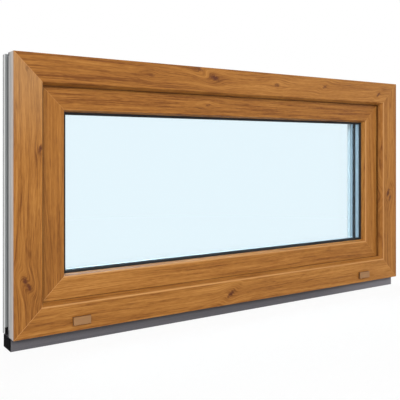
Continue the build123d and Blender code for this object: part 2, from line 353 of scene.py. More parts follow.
@dataclass(frozen=True)
class WindowShape:
    """Sizes of the window that its finishes follow."""

    half_width: float
    bottom: float
    top: float
    front: float
    frame_arris: float = 66 * MM
    sash_arris: float = 127 * MM
    film_fade: float = 9 * MM
    film_soft: float = 0.2 * MM
    frame_film: float = 19 * MM
    sash_face: float = 22 * MM
    sash_film: float = 38 * MM
    seam_start: float = 7 * MM
    seam_deep: float = 18 * MM
    arris_width: float = 2.6 * MM
    weld_width: float = 0.9 * MM
    weld_fade: float = 200 * MM
    rim_width: float = 16 * MM
    side_start: float = 0.3 * MM
    side_full: float = 0.8 * MM
    # Where the side groove and front slot lie, which carry painted shade.
    groove_floor: float = 8.2 * MM
    groove_front: float = 35 * MM
    groove_back: float = 67 * MM
    lip_back: float = 42 * MM
    hollow_start: float = 4.6 * MM
    hollow_full: float = 6.2 * MM
    slot_front: float = 14.4 * MM
    slot_back: float = 17.7 * MM
    side_grey_thin: float = 13 * MM
    side_grey_full: float = 18 * MM
    side_grey_back: float = 38 * MM
    # Where the painted shade at the groove's ends lies.
    groove_end_front: float = 31 * MM
    groove_end_back: float = 68 * MM
    lower_groove_end_top: float = 47 * MM
    upper_groove_end_back: float = 45 * MM
    upper_groove_end_height: float = 7 * MM
    # Where the painted shade along the back edge starts.
    back_shade_edge: float = 75 * MM
    cap_middle: float = 488 * MM
    cap_level: float = 54 * MM
    cap_width: float = 44 * MM
    cap_height: float = 19 * MM
    cap_face: float = -5.5 * MM

    def inset(self, x: Signal, z: Signal) -> Signal:
        """Distance in from the frame's outer edge, at any member."""
        return self.from_side(x).least(self.from_level(z))

    def from_side(self, x: Signal) -> Signal:
        """Distance in from the nearer upright edge."""
        return self.half_width - abs(x)

    def from_level(self, z: Signal) -> Signal:
        """Distance in from the nearer level edge."""
        return (z - self.bottom).least(self.top - z)

    def weld(self, x: Signal, z: Signal) -> Signal:
        """A thin line, 1 on the mitres and 0 elsewhere."""
        away = abs(self.from_side(x) - self.from_level(z))
        return away.below(0.3 * self.weld_width, self.weld_width)


@dataclass(frozen=True)
class Finish:
    """A finish that is written as expressions."""

    def paint(self, shader: Shader) -> Signal:
        """Writes the finish.

        Args:
            shader: The empty node tree.

        Returns:
            The surface.
        """
        raise NotImplementedError

    def material(self, name: str) -> bpy.types.Material:
        """Makes a material of the given name."""
        shader = Shader(name)
        return shader.finish(self.paint(shader))


@dataclass(frozen=True)
class WoodFilm(Finish):
    """Printed and embossed wood-grain film over a white hollow profile."""

    shape: WindowShape
    member: Member
    dark: Colour = (0.170, 0.052, 0.008)
    middle: Colour = (0.358, 0.140, 0.025)
    light: Colour = (0.500, 0.222, 0.052)
    knot_core: Colour = (0.100, 0.026, 0.009)
    # Painted shade on the frame lip's return beside the sash, darkest under the head.
    seam_shade_colour: Colour = (0.060, 0.020, 0.005)
    bleached: Colour = (0.560, 0.400, 0.230)
    # Colour of the welded mitre lines, also used for the painted highlight on the arris.
    weld_and_highlight: Colour = (0.640, 0.320, 0.115)
    white: Colour = (0.84, 0.85, 0.845)
    weld_grey: Colour = (0.60, 0.61, 0.61)
    # Greyer band on the outer side, towards the weather face.
    side_grey: Colour = (0.34, 0.325, 0.31)
    # Painted shade in the side groove, its front slot and its ends, and along the back edge.
    groove_shade: Colour = (0.30, 0.315, 0.315)
    deep_recess_shade: Colour = (0.135, 0.14, 0.14)
    back_edge_shade: Colour = (0.07, 0.07, 0.07)
    groove_end_shade: Colour = (0.008, 0.008, 0.009)
    film_gloss: float = 0.45
    film_shine: float = 0.2
    white_gloss: float = 0.30
    emboss: float = 0.12 * MM
    tone: float = 0.54
    stops: tuple[float, float, float] = (0.12, 0.5, 0.86)
    sway: Noise = Noise((1.5, 5.0), 1.0, offset=3.1, weight=0.03)
    broad: Noise = Noise((1.2, 24.0), weight=0.45)
    streak: Noise = Noise((3.4, 130.0), 3.0, 0.65, 7.0, 1.15)
    fibre: Noise = Noise((11.0, 480.0), 3.0, 0.65, 21.0, 0.95)
    fleck: Noise = Noise((60.0, 420.0), offset=27.0, weight=0.45)
    figure: Noise = Noise((0.9, 17.0), 1.0, offset=15.0)
    pores: Noise = Noise((22.0, 900.0), 1.0, offset=33.0, weight=0.17)
    cloud: Noise = Noise((9.0, 220.0, 9.0), 3.0)
    pore_edge: tuple[float, float] = (0.60, 0.70)
    ring_count: float = 11.0
    ring_width: float = 0.09
    ring_depth: float = 0.30
    knot_length: float = 1.9
    knot_reach: float = 0.13
    knot_pull: float = 0.8
    knot_noise: Noise = Noise((210.0, 330.0), 3.0, weight=2.2)
    knot_size: float = 1.3
    knot_edge: tuple[float, float] = (0.95, 2.3)
    knot_shade: float = 0.13
    bleach_span: tuple[float, float] = (0.40, 0.68)
    # Strength of the painted shadow round and below the drain caps.
    cap_shadow_strength: float = 0.55
    round_arris: float = 0.8
    # Strength of the weld lines and of the painted arris highlight.
    weld_and_highlight_strength: float = 0.9
    weld_high: float = 0.5
    weld_far: float = 0.4
    weld_span: tuple[float, float] = (0.2, 0.5)
    arris_highlight_strength: float = 0.8

    def _flow(self, shader: Shader, along: Signal, across: Signal) -> tuple[Signal, Signal, Signal]:
        """Bends the grain round its knots.

        Args:
            shader: The node tree.
            along: Coordinate along the grain.
            across: Coordinate across the grain.

        Returns:
            The bent coordinate across the grain, the knots' dark cores and their shaded surroundings.
        """
        grain = (along, across)
        seed = self.member.seed
        bent = across + self.sway.swing(self.sway.at(shader, grain, seed))
        cores = shades = across * 0.0
        for knot in self.member.knots:
            off_along = (along - knot.along) / (self.knot_length * knot.radius)
            middle = (along - knot.along) * knot.lean + knot.across
            off_across = (across - middle) / knot.radius
            far = off_along * off_along + off_across * off_across
            pull = (far * -self.knot_reach).exp()
            bent = bent - (across - middle) * (pull * self.knot_pull)
            rough = self.knot_noise.at(shader, grain, seed + knot.along) * self.knot_noise.weight
            core = (far * self.knot_size + rough).below(*self.knot_edge) * knot.dark
            shade = (off_along * off_along * -0.1 + off_across * off_across * -0.5).exp() * knot.dark
            cores = cores.most(core)
            shades = shades.most(shade)
        return bent, cores, shades

    def _print(self, shader: Shader, along: Signal, across: Signal) -> tuple[Signal, Signal]:
        """The film's colour and its embossed height.

        Args:
            shader: The node tree.
            along: Coordinate along the grain.
            across: Coordinate across the grain.

        Returns:
            The colour, and the height from 0 to 1.
        """
        member = self.member
        bent, cores, shades = self._flow(shader, along, across)
        layers = (self.broad, self.streak, self.fibre, self.fleck, self.figure, self.pores)
        broad, streak, fibre, fleck, figure, pores = (
            layer.at(shader, (along, bent), member.seed) for layer in layers)
        ring = abs(shader.math("FRACT", figure * self.ring_count) - 0.5).below(0.0, self.ring_width)
        pores = pores.above(*self.pore_edge)
        grain = self.streak.swing(streak) + self.fibre.swing(fibre) + self.fleck.swing(fleck)
        tone = self.tone + member.lift + along * member.drift + self.broad.swing(broad)
        tone = tone + grain * member.contrast - ring * (broad * self.ring_depth)
        tone = tone - pores * self.pores.weight - shades * self.knot_shade
        colour = shader.ramp(tone, list(zip(self.stops, (self.dark, self.middle, self.light))))
        if member.faded:
            colour = shader.blend(along.above(*self.bleach_span) * member.faded, colour, self.bleached)
        colour = shader.blend(cores, colour, self.knot_core)
        height = fibre * 0.6 + streak * 0.4 - pores * 0.7
        return colour, height

    def _cap_shadow(self, shader: Shader, x: Signal, z: Signal, colour: Signal) -> Signal:
        """Paints shadow on the film just round and below the drain caps.

        Args:
            shader: The node tree.
            x: Place along the sill.
            z: Level.
            colour: The film's colour.

        Returns:
            The colour with the painted shadow.
        """
        shape = self.shape
        half = shape.cap_width / 2
        beside = abs(abs(x) - shape.cap_middle).below(half, half + 3 * MM)
        low = shape.cap_level - shape.cap_height / 2
        high = low + shape.cap_height
        level = z.above(low - 5 * MM, low - 2 * MM) * z.below(high, high + 2 * MM)
        return shader.blend(beside * level * self.cap_shadow_strength, colour, self.dark)

    def _film_mask(self, inset: Signal, depth: Signal) -> Signal:
        """Where the film lies: the weather side, and a little way round its edges.

        Args:
            inset: Distance in from the outer edge.
            depth: Distance behind the weather face.

        Returns:
            1 on the film and 0 on the bare white profile.
        """
        shape = self.shape
        if self.member.sash:
            return depth.below(shape.sash_film - shape.film_soft, shape.sash_film)
        inner = inset.above(shape.frame_arris / 2, shape.frame_arris / 2 + MM)
        edge = (depth / -shape.film_fade).exp()
        lip = depth.below(shape.frame_film - shape.film_soft, shape.frame_film)
        return edge.most(lip * inner).least(1.0)

    def _core(self, shader: Shader, point: Sequence[Signal], inset: Signal, depth: Signal,
              weld: Signal) -> Signal:
        """The bare profile's colour: white, greyer towards the weather face on the outer side, with painted
        shade in the side groove, its front slot and its ends and along the back edge.

        Args:
            shader: The node tree.
            point: X, Y and Z.
            inset: Distance in from the outer edge.
            depth: Distance behind the weather face.
            weld: 1 on the mitres.

        Returns:
            The colour.
        """
        shape = self.shape
        cloud = self.cloud.at(shader, point)
        plain = shader.blend(weld * 0.7 + (cloud - 0.5) * 0.12, self.white, self.weld_grey)
        # Greyer towards the weather face on the outer side.
        side = inset.below(shape.groove_floor, shape.groove_floor + MM / 2)
        side_greyed = depth.below(shape.side_grey_back - 2 * MM, shape.side_grey_back) * side
        side_greyed = side_greyed * (0.35 + depth.above(shape.side_grey_thin, shape.side_grey_full) * 0.65)
        plain = shader.blend(side_greyed * (0.85 + (cloud - 0.5) * 1.2), plain, self.side_grey)
        # Painted shade in the front slot.
        slot = depth.within(shape.slot_front, shape.slot_back, 0.3 * MM).least(side)
        slot = slot * inset.above(shape.side_start, shape.side_full)
        plain = shader.blend(slot, plain, self.deep_recess_shade)
        # Painted shade in the side groove, darkest deep inside it and behind its front lip.
        groove = depth.within(shape.groove_front, shape.groove_back, MM) * side
        plain = shader.blend(groove, plain, self.groove_shade)
        lip = depth.below(shape.lip_back - MM, shape.lip_back)
        hollow = inset.above(shape.hollow_start, shape.hollow_full)
        plain = shader.blend(groove * hollow.most(lip), plain, self.deep_recess_shade)
        # Painted shade at the groove's lower and upper ends.
        lower = point[2].below(shape.lower_groove_end_top - MM, shape.lower_groove_end_top)
        lower = lower * depth.within(shape.groove_end_front, shape.groove_end_back, MM / 2)
        upper_edge = shape.top - shape.upper_groove_end_height
        upper = point[2].above(upper_edge - MM, upper_edge)
        upper = upper * depth.above(shape.groove_end_front, shape.groove_end_front + MM / 2)
        upper = upper * depth.below(shape.upper_groove_end_back - MM, shape.upper_groove_end_back)
        plain = shader.blend(lower.most(upper) * side, plain, self.groove_end_shade)
        # Painted shade along the back edge.
        back_edge_mask = depth.above(shape.back_shade_edge, shape.back_shade_edge + MM / 2)
        back_edge_mask = back_edge_mask * inset.below(shape.side_start, shape.side_full)
        return shader.blend(back_edge_mask, plain, self.back_edge_shade)

    def paint(self, shader: Shader) -> Signal:
        """Writes the finish.

        Args:
            shader: The empty node tree.

        Returns:
            The surface.
        """
        shape, member = self.shape, self.member
        x, y, z = shader.place()
        depth = y - shape.front
        inset = shape.inset(x, z)
        along, level = (x, z) if member.grain is Grain.WIDTH else (z, x)
        across = level + depth * self.round_arris
        colour, height = self._print(shader, along, across)
        weld = shape.weld(x, z)
        face = shape.sash_face if member.sash else 0.0
        arris = shape.sash_arris if member.sash else shape.frame_arris
        # Painted highlight: a pale line on the arris of the members that face the light, in the weld
        # colour.
        lightened = abs(inset - arris + shape.arris_width / 2).below(0.3 * shape.arris_width, shape.arris_width)
        lightened = lightened * (depth - face).below(shape.arris_width, 2 * shape.arris_width)
        low = z.below(shape.bottom + shape.weld_fade, shape.top - shape.weld_fade)
        line = weld * (self.weld_high + low * (1.0 - self.weld_high))
        line = line * (self.weld_far + x.below(*self.weld_span) * (1.0 - self.weld_far))
        line = line.most(lightened * self.arris_highlight_strength) if member.arris_highlight else line
        colour = shader.blend(line * self.weld_and_highlight_strength, colour, self.weld_and_highlight)
        # Painted shadow round and below the drain caps.
        colour = self._cap_shadow(shader, x, z, colour) if member.cap_shadowed else colour
        # Painted shade along the outer edge.
        if member.rim_shade:
            colour = shader.blend(inset.below(0.0, shape.rim_width) * member.rim_shade, colour, self.dark)
        # Painted shade on the frame lip's return, down towards the sash.
        if member.seam:
            seam_shade_mask = depth.above(shape.seam_start, shape.seam_deep) * inset.above(arris - MM, arris)
            colour = shader.blend(seam_shade_mask * member.seam, colour, self.seam_shade_colour)
        film = self._film_mask(inset, depth)
        plain = self._core(shader, (x, y, z), inset, depth, weld)
        gloss = self.white_gloss + film * (self.film_gloss - self.white_gloss)
        return shader.surface({
            "Base Color": shader.blend(film, plain, colour),
            "Roughness": gloss + (height - 0.3) * film * 0.12,
            "Specular IOR Level": self.film_shine,
            "Normal": shader.bump(height * film - weld * 0.8, self.emboss),
        })


@dataclass(frozen=True)
class MouldedPlastic(Finish):
    """Plain extruded or moulded plastic, with faint lines along it and a fine grain."""

    colour: Colour
    gloss: float = 0.4
    mottle: float = 0.08
    grain: float = 0.04 * MM
    cell: float = 0.9 * MM
    shine: float = 0.5
    cloud: Noise = Noise((14.0, 60.0, 60.0))

    def paint(self, shader: Shader) -> Signal:
        """Writes the finish.

        Args:
            shader: The empty node tree.

        Returns:
            The surface.
        """
        point = shader.place()
        fine = Noise((1 / self.cell,) * 3).at(shader, point)
        cloud = self.cloud.at(shader, point)
        darker = tuple(part * 0.72 for part in self.colour)
        paler = tuple(min(1.0, part * 1.22) for part in self.colour)
        tone = 0.5 + (cloud - 0.5) * self.mottle * 8.0 + (fine - 0.5) * self.mottle * 4.0
        return shader.surface({
            "Base Color": shader.ramp(tone, [(0.0, darker), (0.5, self.colour), (1.0, paler)]),
            "Roughness": self.gloss + (fine - 0.5) * 0.16,
            "Specular IOR Level": self.shine,
            "Normal": shader.bump(fine, self.grain),
        })


@dataclass(frozen=True)
class SeamRubber(Finish):
    """Brown rubber of the seal between frame and sash, with painted light towards the sill and painted
    shade towards the head.

    Attributes:
        low: Level below which the painted light is full.
        high: Level above which the rubber is all in painted shade.
    """

    low: float
    high: float
    dark: Colour = (0.022, 0.009, 0.003)
    painted_lit_brown: Colour = (0.150, 0.060, 0.016)
    gloss: float = 0.6
    shine: float = 0.05
    fine: Noise = Noise((700.0,) * 3)
    relief: float = 0.05 * MM

    def paint(self, shader: Shader) -> Signal:
        """Writes the finish.

        Args:
            shader: The empty node tree.

        Returns:
            The surface.
        """
        point = shader.place()
        fine = self.fine.at(shader, point)
        # Painted light and shade: paler towards the sill, darker towards the head.
        painted_light_share = point[2].below(self.low, self.high) * (0.75 + (fine - 0.5) * 0.8)
        return shader.surface({
            "Base Color": shader.blend(painted_light_share, self.dark, self.painted_lit_brown),
            "Roughness": self.gloss + (fine - 0.5) * 0.2,
            "Specular IOR Level": self.shine,
            "Normal": shader.bump(fine, self.relief),
        })


@dataclass(frozen=True)
class CapPlastic(Finish):
    """Fine matt brown plastic of the drain caps, with painted shade on their narrow sides."""

    shape: WindowShape
    colour: Colour = (0.315, 0.155, 0.056)
    # Painted shade on the caps' narrow sides.
    side_shade: Colour = (0.085, 0.036, 0.010)
    gloss: float = 0.45
    fine: Noise = Noise((1100.0,) * 3)
    cloud: Noise = Noise((60.0,) * 3)
    relief: float = 0.04 * MM

    def paint(self, shader: Shader) -> Signal:
        """Writes the finish.

        Args:
            shader: The empty node tree.

        Returns:
            The surface.
        """
        point = shader.place()
        fine = self.fine.at(shader, point)
        cloud = self.cloud.at(shader, point)
        darker = tuple(part * 0.8 for part in self.colour)
        paler = tuple(part * 1.2 for part in self.colour)
        tone = 0.5 + (cloud - 0.5) * 0.7 + (fine - 0.5) * 0.5
        colour = shader.ramp(tone, [(0.0, darker), (0.5, self.colour), (1.0, paler)])
        # Painted shade on the narrow sides behind the cap's face.
        face = self.shape.cap_face
        behind = (point[1] - self.shape.front).above(face, face + MM)
        return shader.surface({
            "Base Color": shader.blend(behind * (0.7 + (cloud - 0.5) * 0.8), colour, self.side_shade),
            "Roughness": self.gloss + (fine - 0.5) * 0.16,
            "Normal": shader.bump(fine, self.relief),
        })


@dataclass(frozen=True)
class BaseSkin(Finish):
    """Dark grey base profile, paler towards its right end, with painted shade under the sill, and painted
    near-black shade on its cut ends, inside and on its tongue.

    Attributes:
        half_width: Half its length.
        half_depth: Half its depth.
        top: Level of its upper face, below the tongue.
    """

    half_width: float
    half_depth: float
    top: float
    skin: Colour = (0.135, 0.130, 0.141)
    shade: Colour = (0.050, 0.047, 0.052)
    # Paler colour towards the right end.
    lightened: Colour = (0.300, 0.290, 0.315)
    # Painted shade: near-black on the cut ends, inside and on the tongue.
    core: Colour = (0.012, 0.012, 0.013)
    gloss: float = 0.5
    shine: float = 0.02
    bend: float = 1.2
    cut: float = 0.6 * MM
    drawn: Noise = Noise((3.0, 900.0, 900.0))
    fine: Noise = Noise((900.0,) * 3)
    relief: float = 0.03 * MM
    paler_from: float = 200 * MM

    def paint(self, shader: Shader) -> Signal:
        """Writes the finish.

        Args:
            shader: The empty node tree.

        Returns:
            The surface.
        """
        x, y, z = shader.place()
        tone = self.drawn.at(shader, (x, y, z)) * 0.5 + self.fine.at(shader, (x, y, z)) * 0.5
        paler = tuple(part * 1.35 for part in self.skin)
        darker = tuple(part * 0.75 for part in self.skin)
        skin = shader.ramp(tone, [(0.25, darker), (0.5, self.skin), (0.75, paler)])
        # Paler towards the right end.
        skin = shader.blend(x.above(self.paler_from, self.half_width) * 0.6, skin, self.lightened)
        skin = shader.blend(z.above(0.45 * self.top, 0.95 * self.top) * 0.6, skin, self.shade)
        # Painted shade: near-black on the cut ends, the inner walls of the chambers and the tongue.
        half = self.cut / 2
        end = abs(x).above(self.half_width - self.cut, self.half_width - half)
        tongue = z.above(self.top, self.top + self.cut)
        inside = abs(y).below(self.half_depth - self.cut, self.half_depth - half)
        inside = inside * z.within(half, self.top - half, half)
        return shader.surface({
            "Base Color": shader.blend(end.most(tongue).most(inside), skin, self.core),
            "Roughness": self.gloss + (tone - 0.5) * 0.2,
            "Specular IOR Level": self.shine,
            "IOR": self.bend,
            "Normal": shader.bump(tone, self.relief),
        })


@dataclass(frozen=True)
class Metal(Finish):
    """Rolled or plated metal, brushed along the window."""

    colour: Colour
    gloss: float
    brushed: Noise = Noise((20.0, 1500.0, 20.0), 3.0)
    relief: float = 0.02 * MM

    def paint(self, shader: Shader) -> Signal:
        """Writes the finish.

        Args:
            shader: The empty node tree.

        Returns:
            The surface.
        """
        brushed = self.brushed.at(shader, shader.place())
        darker = tuple(part * 0.85 for part in self.colour)
        return shader.surface({
            "Base Color": shader.blend(brushed, darker, self.colour),
            "Metallic": 1.0,
            "Roughness": self.gloss + (brushed - 0.5) * 0.2,
            "Normal": shader.bump(brushed, self.relief),
        })


@dataclass(frozen=True)
class SpacerSkin(Finish):
    """Satin bluish aluminium, with a painted highlight on its bottom run, and dark sealant beside the
    middle pane.
    """

    front: float
    metal: Colour = (0.40, 0.505, 0.585)
    # Painted highlight on the bottom run.
    painted_glint: Colour = (0.74, 0.84, 0.90)
    squeezed: Colour = (0.003, 0.008, 0.013)
    gloss: float = 0.42
    bend: float = 1.05
    brushed: Noise = Noise((18.0, 1400.0, 18.0), 3.0)
    ragged: Noise = Noise((120.0,) * 3, weight=MM)
    relief: float = 0.02 * MM
    squeeze_start: float = 60.6 * MM
    squeeze_end: float = 75.4 * MM
    squeeze_soft: float = 0.4 * MM
    glint_top: float = 166 * MM

    def paint(self, shader: Shader) -> Signal:
        """Writes the finish.

        Args:
            shader: The empty node tree.

        Returns:
            The surface.
        """
        point = shader.place()
        brushed = self.brushed.at(shader, point)
        depth = point[1] - self.front + self.ragged.swing(self.ragged.at(shader, point))
        dark = depth.within(self.squeeze_start, self.squeeze_end, self.squeeze_soft)
        paler = tuple(part * 1.15 for part in self.metal)
        metal = shader.blend(brushed, self.metal, paler)
        # Painted highlight on the bottom run, which faces the light.
        metal = shader.blend(point[2].below(self.glint_top, self.glint_top + MM), metal, self.painted_glint)
        return shader.surface({
            "Base Color": shader.blend(dark, metal, self.squeezed),
            "Metallic": (1.0 - dark) * 0.85,
            "IOR": self.bend,
            "Roughness": self.gloss + (brushed - 0.5) * 0.2,
            "Normal": shader.bump(brushed, self.relief),
        })


@dataclass(frozen=True)
class PaneGlass(Finish):
    """Clear glass with a faint blue tint, which lets the lamps through."""

    tint: Colour = (0.923, 0.9735, 0.995)
    bend: float = 1.2

    def paint(self, shader: Shader) -> Signal:
        """Writes the finish.

        Args:
            shader: The empty node tree.

        Returns:
            The surface.
        """
        glass = shader.surface({
            "Base Color": (*self.tint, 1.0), "Roughness": 0.0, "IOR": self.bend,
            "Transmission Weight": 1.0})
        clear = shader.node("BsdfTransparent", {"Color": (*self.tint, 1.0)})
        shadow = shader.node("LightPath", output="Is Shadow Ray")
        return shader.mix(shadow, glass, clear)


def dress(node: bpy.types.Object, material: bpy.types.Material) -> None:
    """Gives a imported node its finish.

    Args:
        node: The node's object.
        material: The finish.
    """
    node.data.materials.clear()
    node.data.materials.append(material)
    LOG.info("%s wears %s", node.name, material.name)


def link(name: str, data: bpy.types.ID) -> bpy.types.Object:
    """Puts a mesh, lamp or camera in the scene.

    Args:
        name: The object's name.
        data: Its mesh, lamp or camera.

    Returns:
        The object, at the origin.
    """
    made = bpy.data.objects.new(name, data)
    bpy.context.scene.collection.objects.link(made)
    return made


@dataclass
class Profiles:
    """The mitred frame and sash members, with their film."""

    nodes: Nodes
    shape: WindowShape

    def members(self) -> Mapping[str, Member]:
        """The members with their own film.

        Returns:
            Each member's film, with the knots that show at their real places.
        """
        width, height = Grain.WIDTH, Grain.HEIGHT
        head = (
            Knot(-0.100, 0.653, 0.0098, -0.2), Knot(-0.296, 0.648, 0.006, dark=0.45),
            Knot(-0.149, 0.673, 0.0065, -0.35, 0.7), Knot(0.121, 0.647, 0.0075, dark=0.75),
            Knot(0.315, 0.652, 0.007, 0.3, 0.6), Knot(0.560, 0.640, 0.0065, 0.6, 0.9))
        left = (
            Knot(0.462, -0.5875, 0.0065, 0.15), Knot(0.162, -0.624, 0.0066, -0.2),
            Knot(0.148, -0.6155, 0.0070, -0.4, 0.9), Knot(0.644, -0.6185, 0.005, 0.2, 0.4))
        right = (Knot(0.3136, 0.608, 0.0095, 0.35, 1.0), Knot(0.298, 0.618, 0.008, 0.2, 0.75))
        return {
            "frame_head": Member(width, 11.3, -0.05, 0.22, contrast=0.9, seam=0.85, knots=head),
            "frame_sill": Member(
                width, 22.6, 0.03, 0.16, seam=0.15, arris_highlight=True, cap_shadowed=True,
                knots=(Knot(-0.046, 0.059, 0.0085, 0.6, 0.95),)),
            "frame_jamb_left": Member(height, 56.5, -0.14, 0.35, 0.2, 0.95, 0.4, knots=left),
            "frame_jamb_right": Member(
                height, 67.8, 0.0, contrast=0.85, seam=0.45, rim_shade=0.5, arris_highlight=True, knots=right),
            "sash_top_rail": Member(
                width, 33.9, -0.13, sash=True, knots=(Knot(-0.108, 0.5972, 0.005, 0.1, 0.6),)),
            "sash_bottom_rail": Member(width, 45.2, 0.03, sash=True, arris_highlight=True),
            "sash_stile_left": Member(height, 79.1, -0.08, contrast=0.75, sash=True),
            "sash_stile_right": Member(height, 90.4, 0.06, contrast=0.85, sash=True, arris_highlight=True),
        }

    def dress(self) -> None:
        """Gives each member its own piece of film."""
        for name, member in self.members().items():
            dress(self.nodes[name], WoodFilm(self.shape, member).material("film_" + name))


@dataclass
class Glazing:
    """The glass unit: three panes, two spacers with their breathing slits, and the edge sealant."""

    nodes: Nodes
    front: float
    spacer_height: float = 7.5 * MM
    slit_pitch: float = 6.0 * MM
    slit_length: float = 2.4 * MM
    slit_width: float = 0.35 * MM
    slit_height: float = 0.06 * MM

    def dress(self) -> None:
        """Gives the panes, spacers and sealant their finishes."""
        glass = PaneGlass().material("pane_glass")
        for name in ("glass_outer", "glass_middle", "glass_inner"):
            dress(self.nodes[name], glass)
        aluminium = SpacerSkin(self.front).material("spacer_aluminium")
        sealant = MouldedPlastic((0.016, 0.017, 0.019), 0.55, 0.1).material("edge_sealant")
        for name in ("outer", "inner"):
            dress(self.nodes["spacer_" + name], aluminium)
            dress(self.nodes["edge_seal_" + name], sealant)

    def _slit_tree(self, dark: bpy.types.Material) -> bpy.types.NodeTree:
        """The node tree that sets slits along a rectangle.

        Args:
            dark: The slits' finish.

        Returns:
            The tree, with the rectangle's sides, the pitch and the slit's sizes as inputs.
        """
        tree = bpy.data.node_groups.new("spacer_slits", "GeometryNodeTree")
        for name in ("Width", "Height", "Pitch", "Slit length", "Slit width", "Slit height"):
            tree.interface.new_socket(name, in_out="INPUT", socket_type="NodeSocketFloat")
        tree.interface.new_socket("Geometry", in_out="OUTPUT", socket_type="NodeSocketGeometry")
        make = tree.nodes.new
        join = tree.links.new
        given = make("NodeGroupInput").outputs
        loop = make("GeometryNodeCurvePrimitiveQuadrilateral")
        join(given["Width"], loop.inputs["Width"])
        join(given["Height"], loop.inputs["Height"])
        points = make("GeometryNodeCurveToPoints")
        points.mode = "LENGTH"
        join(loop.outputs[0], points.inputs["Curve"])
        join(given["Pitch"], points.inputs["Length"])
        size = make("ShaderNodeCombineXYZ")
        for place, name in enumerate(("Slit height", "Slit width", "Slit length")):
            join(given[name], size.inputs[place])
        slit = make("GeometryNodeMeshCube")
        join(size.outputs[0], slit.inputs["Size"])
        spread = make("GeometryNodeInstanceOnPoints")
        join(points.outputs["Points"], spread.inputs["Points"])
        join(points.outputs["Rotation"], spread.inputs["Rotation"])
        join(slit.outputs["Mesh"], spread.inputs["Instance"])
        real = make("GeometryNodeRealizeInstances")
        join(spread.outputs[0], real.inputs[0])
        paint = make("GeometryNodeSetMaterial")
        paint.inputs["Material"].default_value = dark
        join(real.outputs[0], paint.inputs["Geometry"])
        join(paint.outputs[0], make("NodeGroupOutput").inputs[0])
        return tree

    def _slit_row(self, tree: bpy.types.NodeTree, spacer: str) -> bpy.types.Object:
        """Sets the breathing slits on the face of one spacer.

        Args:
            tree: The slit tree.
            spacer: The spacer's node.

        Returns:
            The slits as one plain mesh.
        """
        low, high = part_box(spacer)
        inner = 2 * self.spacer_height
        sizes = {
            "Width": high.x - low.x - inner, "Height": high.z - low.z - inner, "Pitch": self.slit_pitch,
            "Slit length": self.slit_length, "Slit width": self.slit_width, "Slit height": self.slit_height}
        host = link("host_" + spacer, bpy.data.meshes.new("host_" + spacer))
        modifier = host.modifiers.new("slits", "NODES")
        modifier.node_group = tree
        for item in tree.interface.items_tree:
            if item.in_out == "INPUT":
                modifier[item.identifier] = sizes[item.name]
        found = host.evaluated_get(bpy.context.evaluated_depsgraph_get())
        mesh = bpy.data.meshes.new_from_object(found)
        bpy.data.objects.remove(host)
        middle = (low + high) / 2
        for vertex in mesh.vertices:
            x, y, z = vertex.co
            vertex.co = (x + middle.x, middle.y - z, y + middle.z)
        mesh.update()
        return link(spacer.replace("spacer", "spacer_slits"), mesh)

    def slits(self) -> None:
        """Adds the slits of both spacers, as near-black patches of painted shade."""
        # The slits are painted shade: near-black patches where the openings lie in shadow.
        dark = MouldedPlastic((0.02, 0.02, 0.022), 0.7, 0.1).material("slit_shade")
        tree = self._slit_tree(dark)
        for spacer in ("spacer_outer", "spacer_inner"):
            row = self._slit_row(tree, spacer)
            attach(row, BODY)
            LOG.info("%s has %d faces", row.name, len(row.data.polygons))


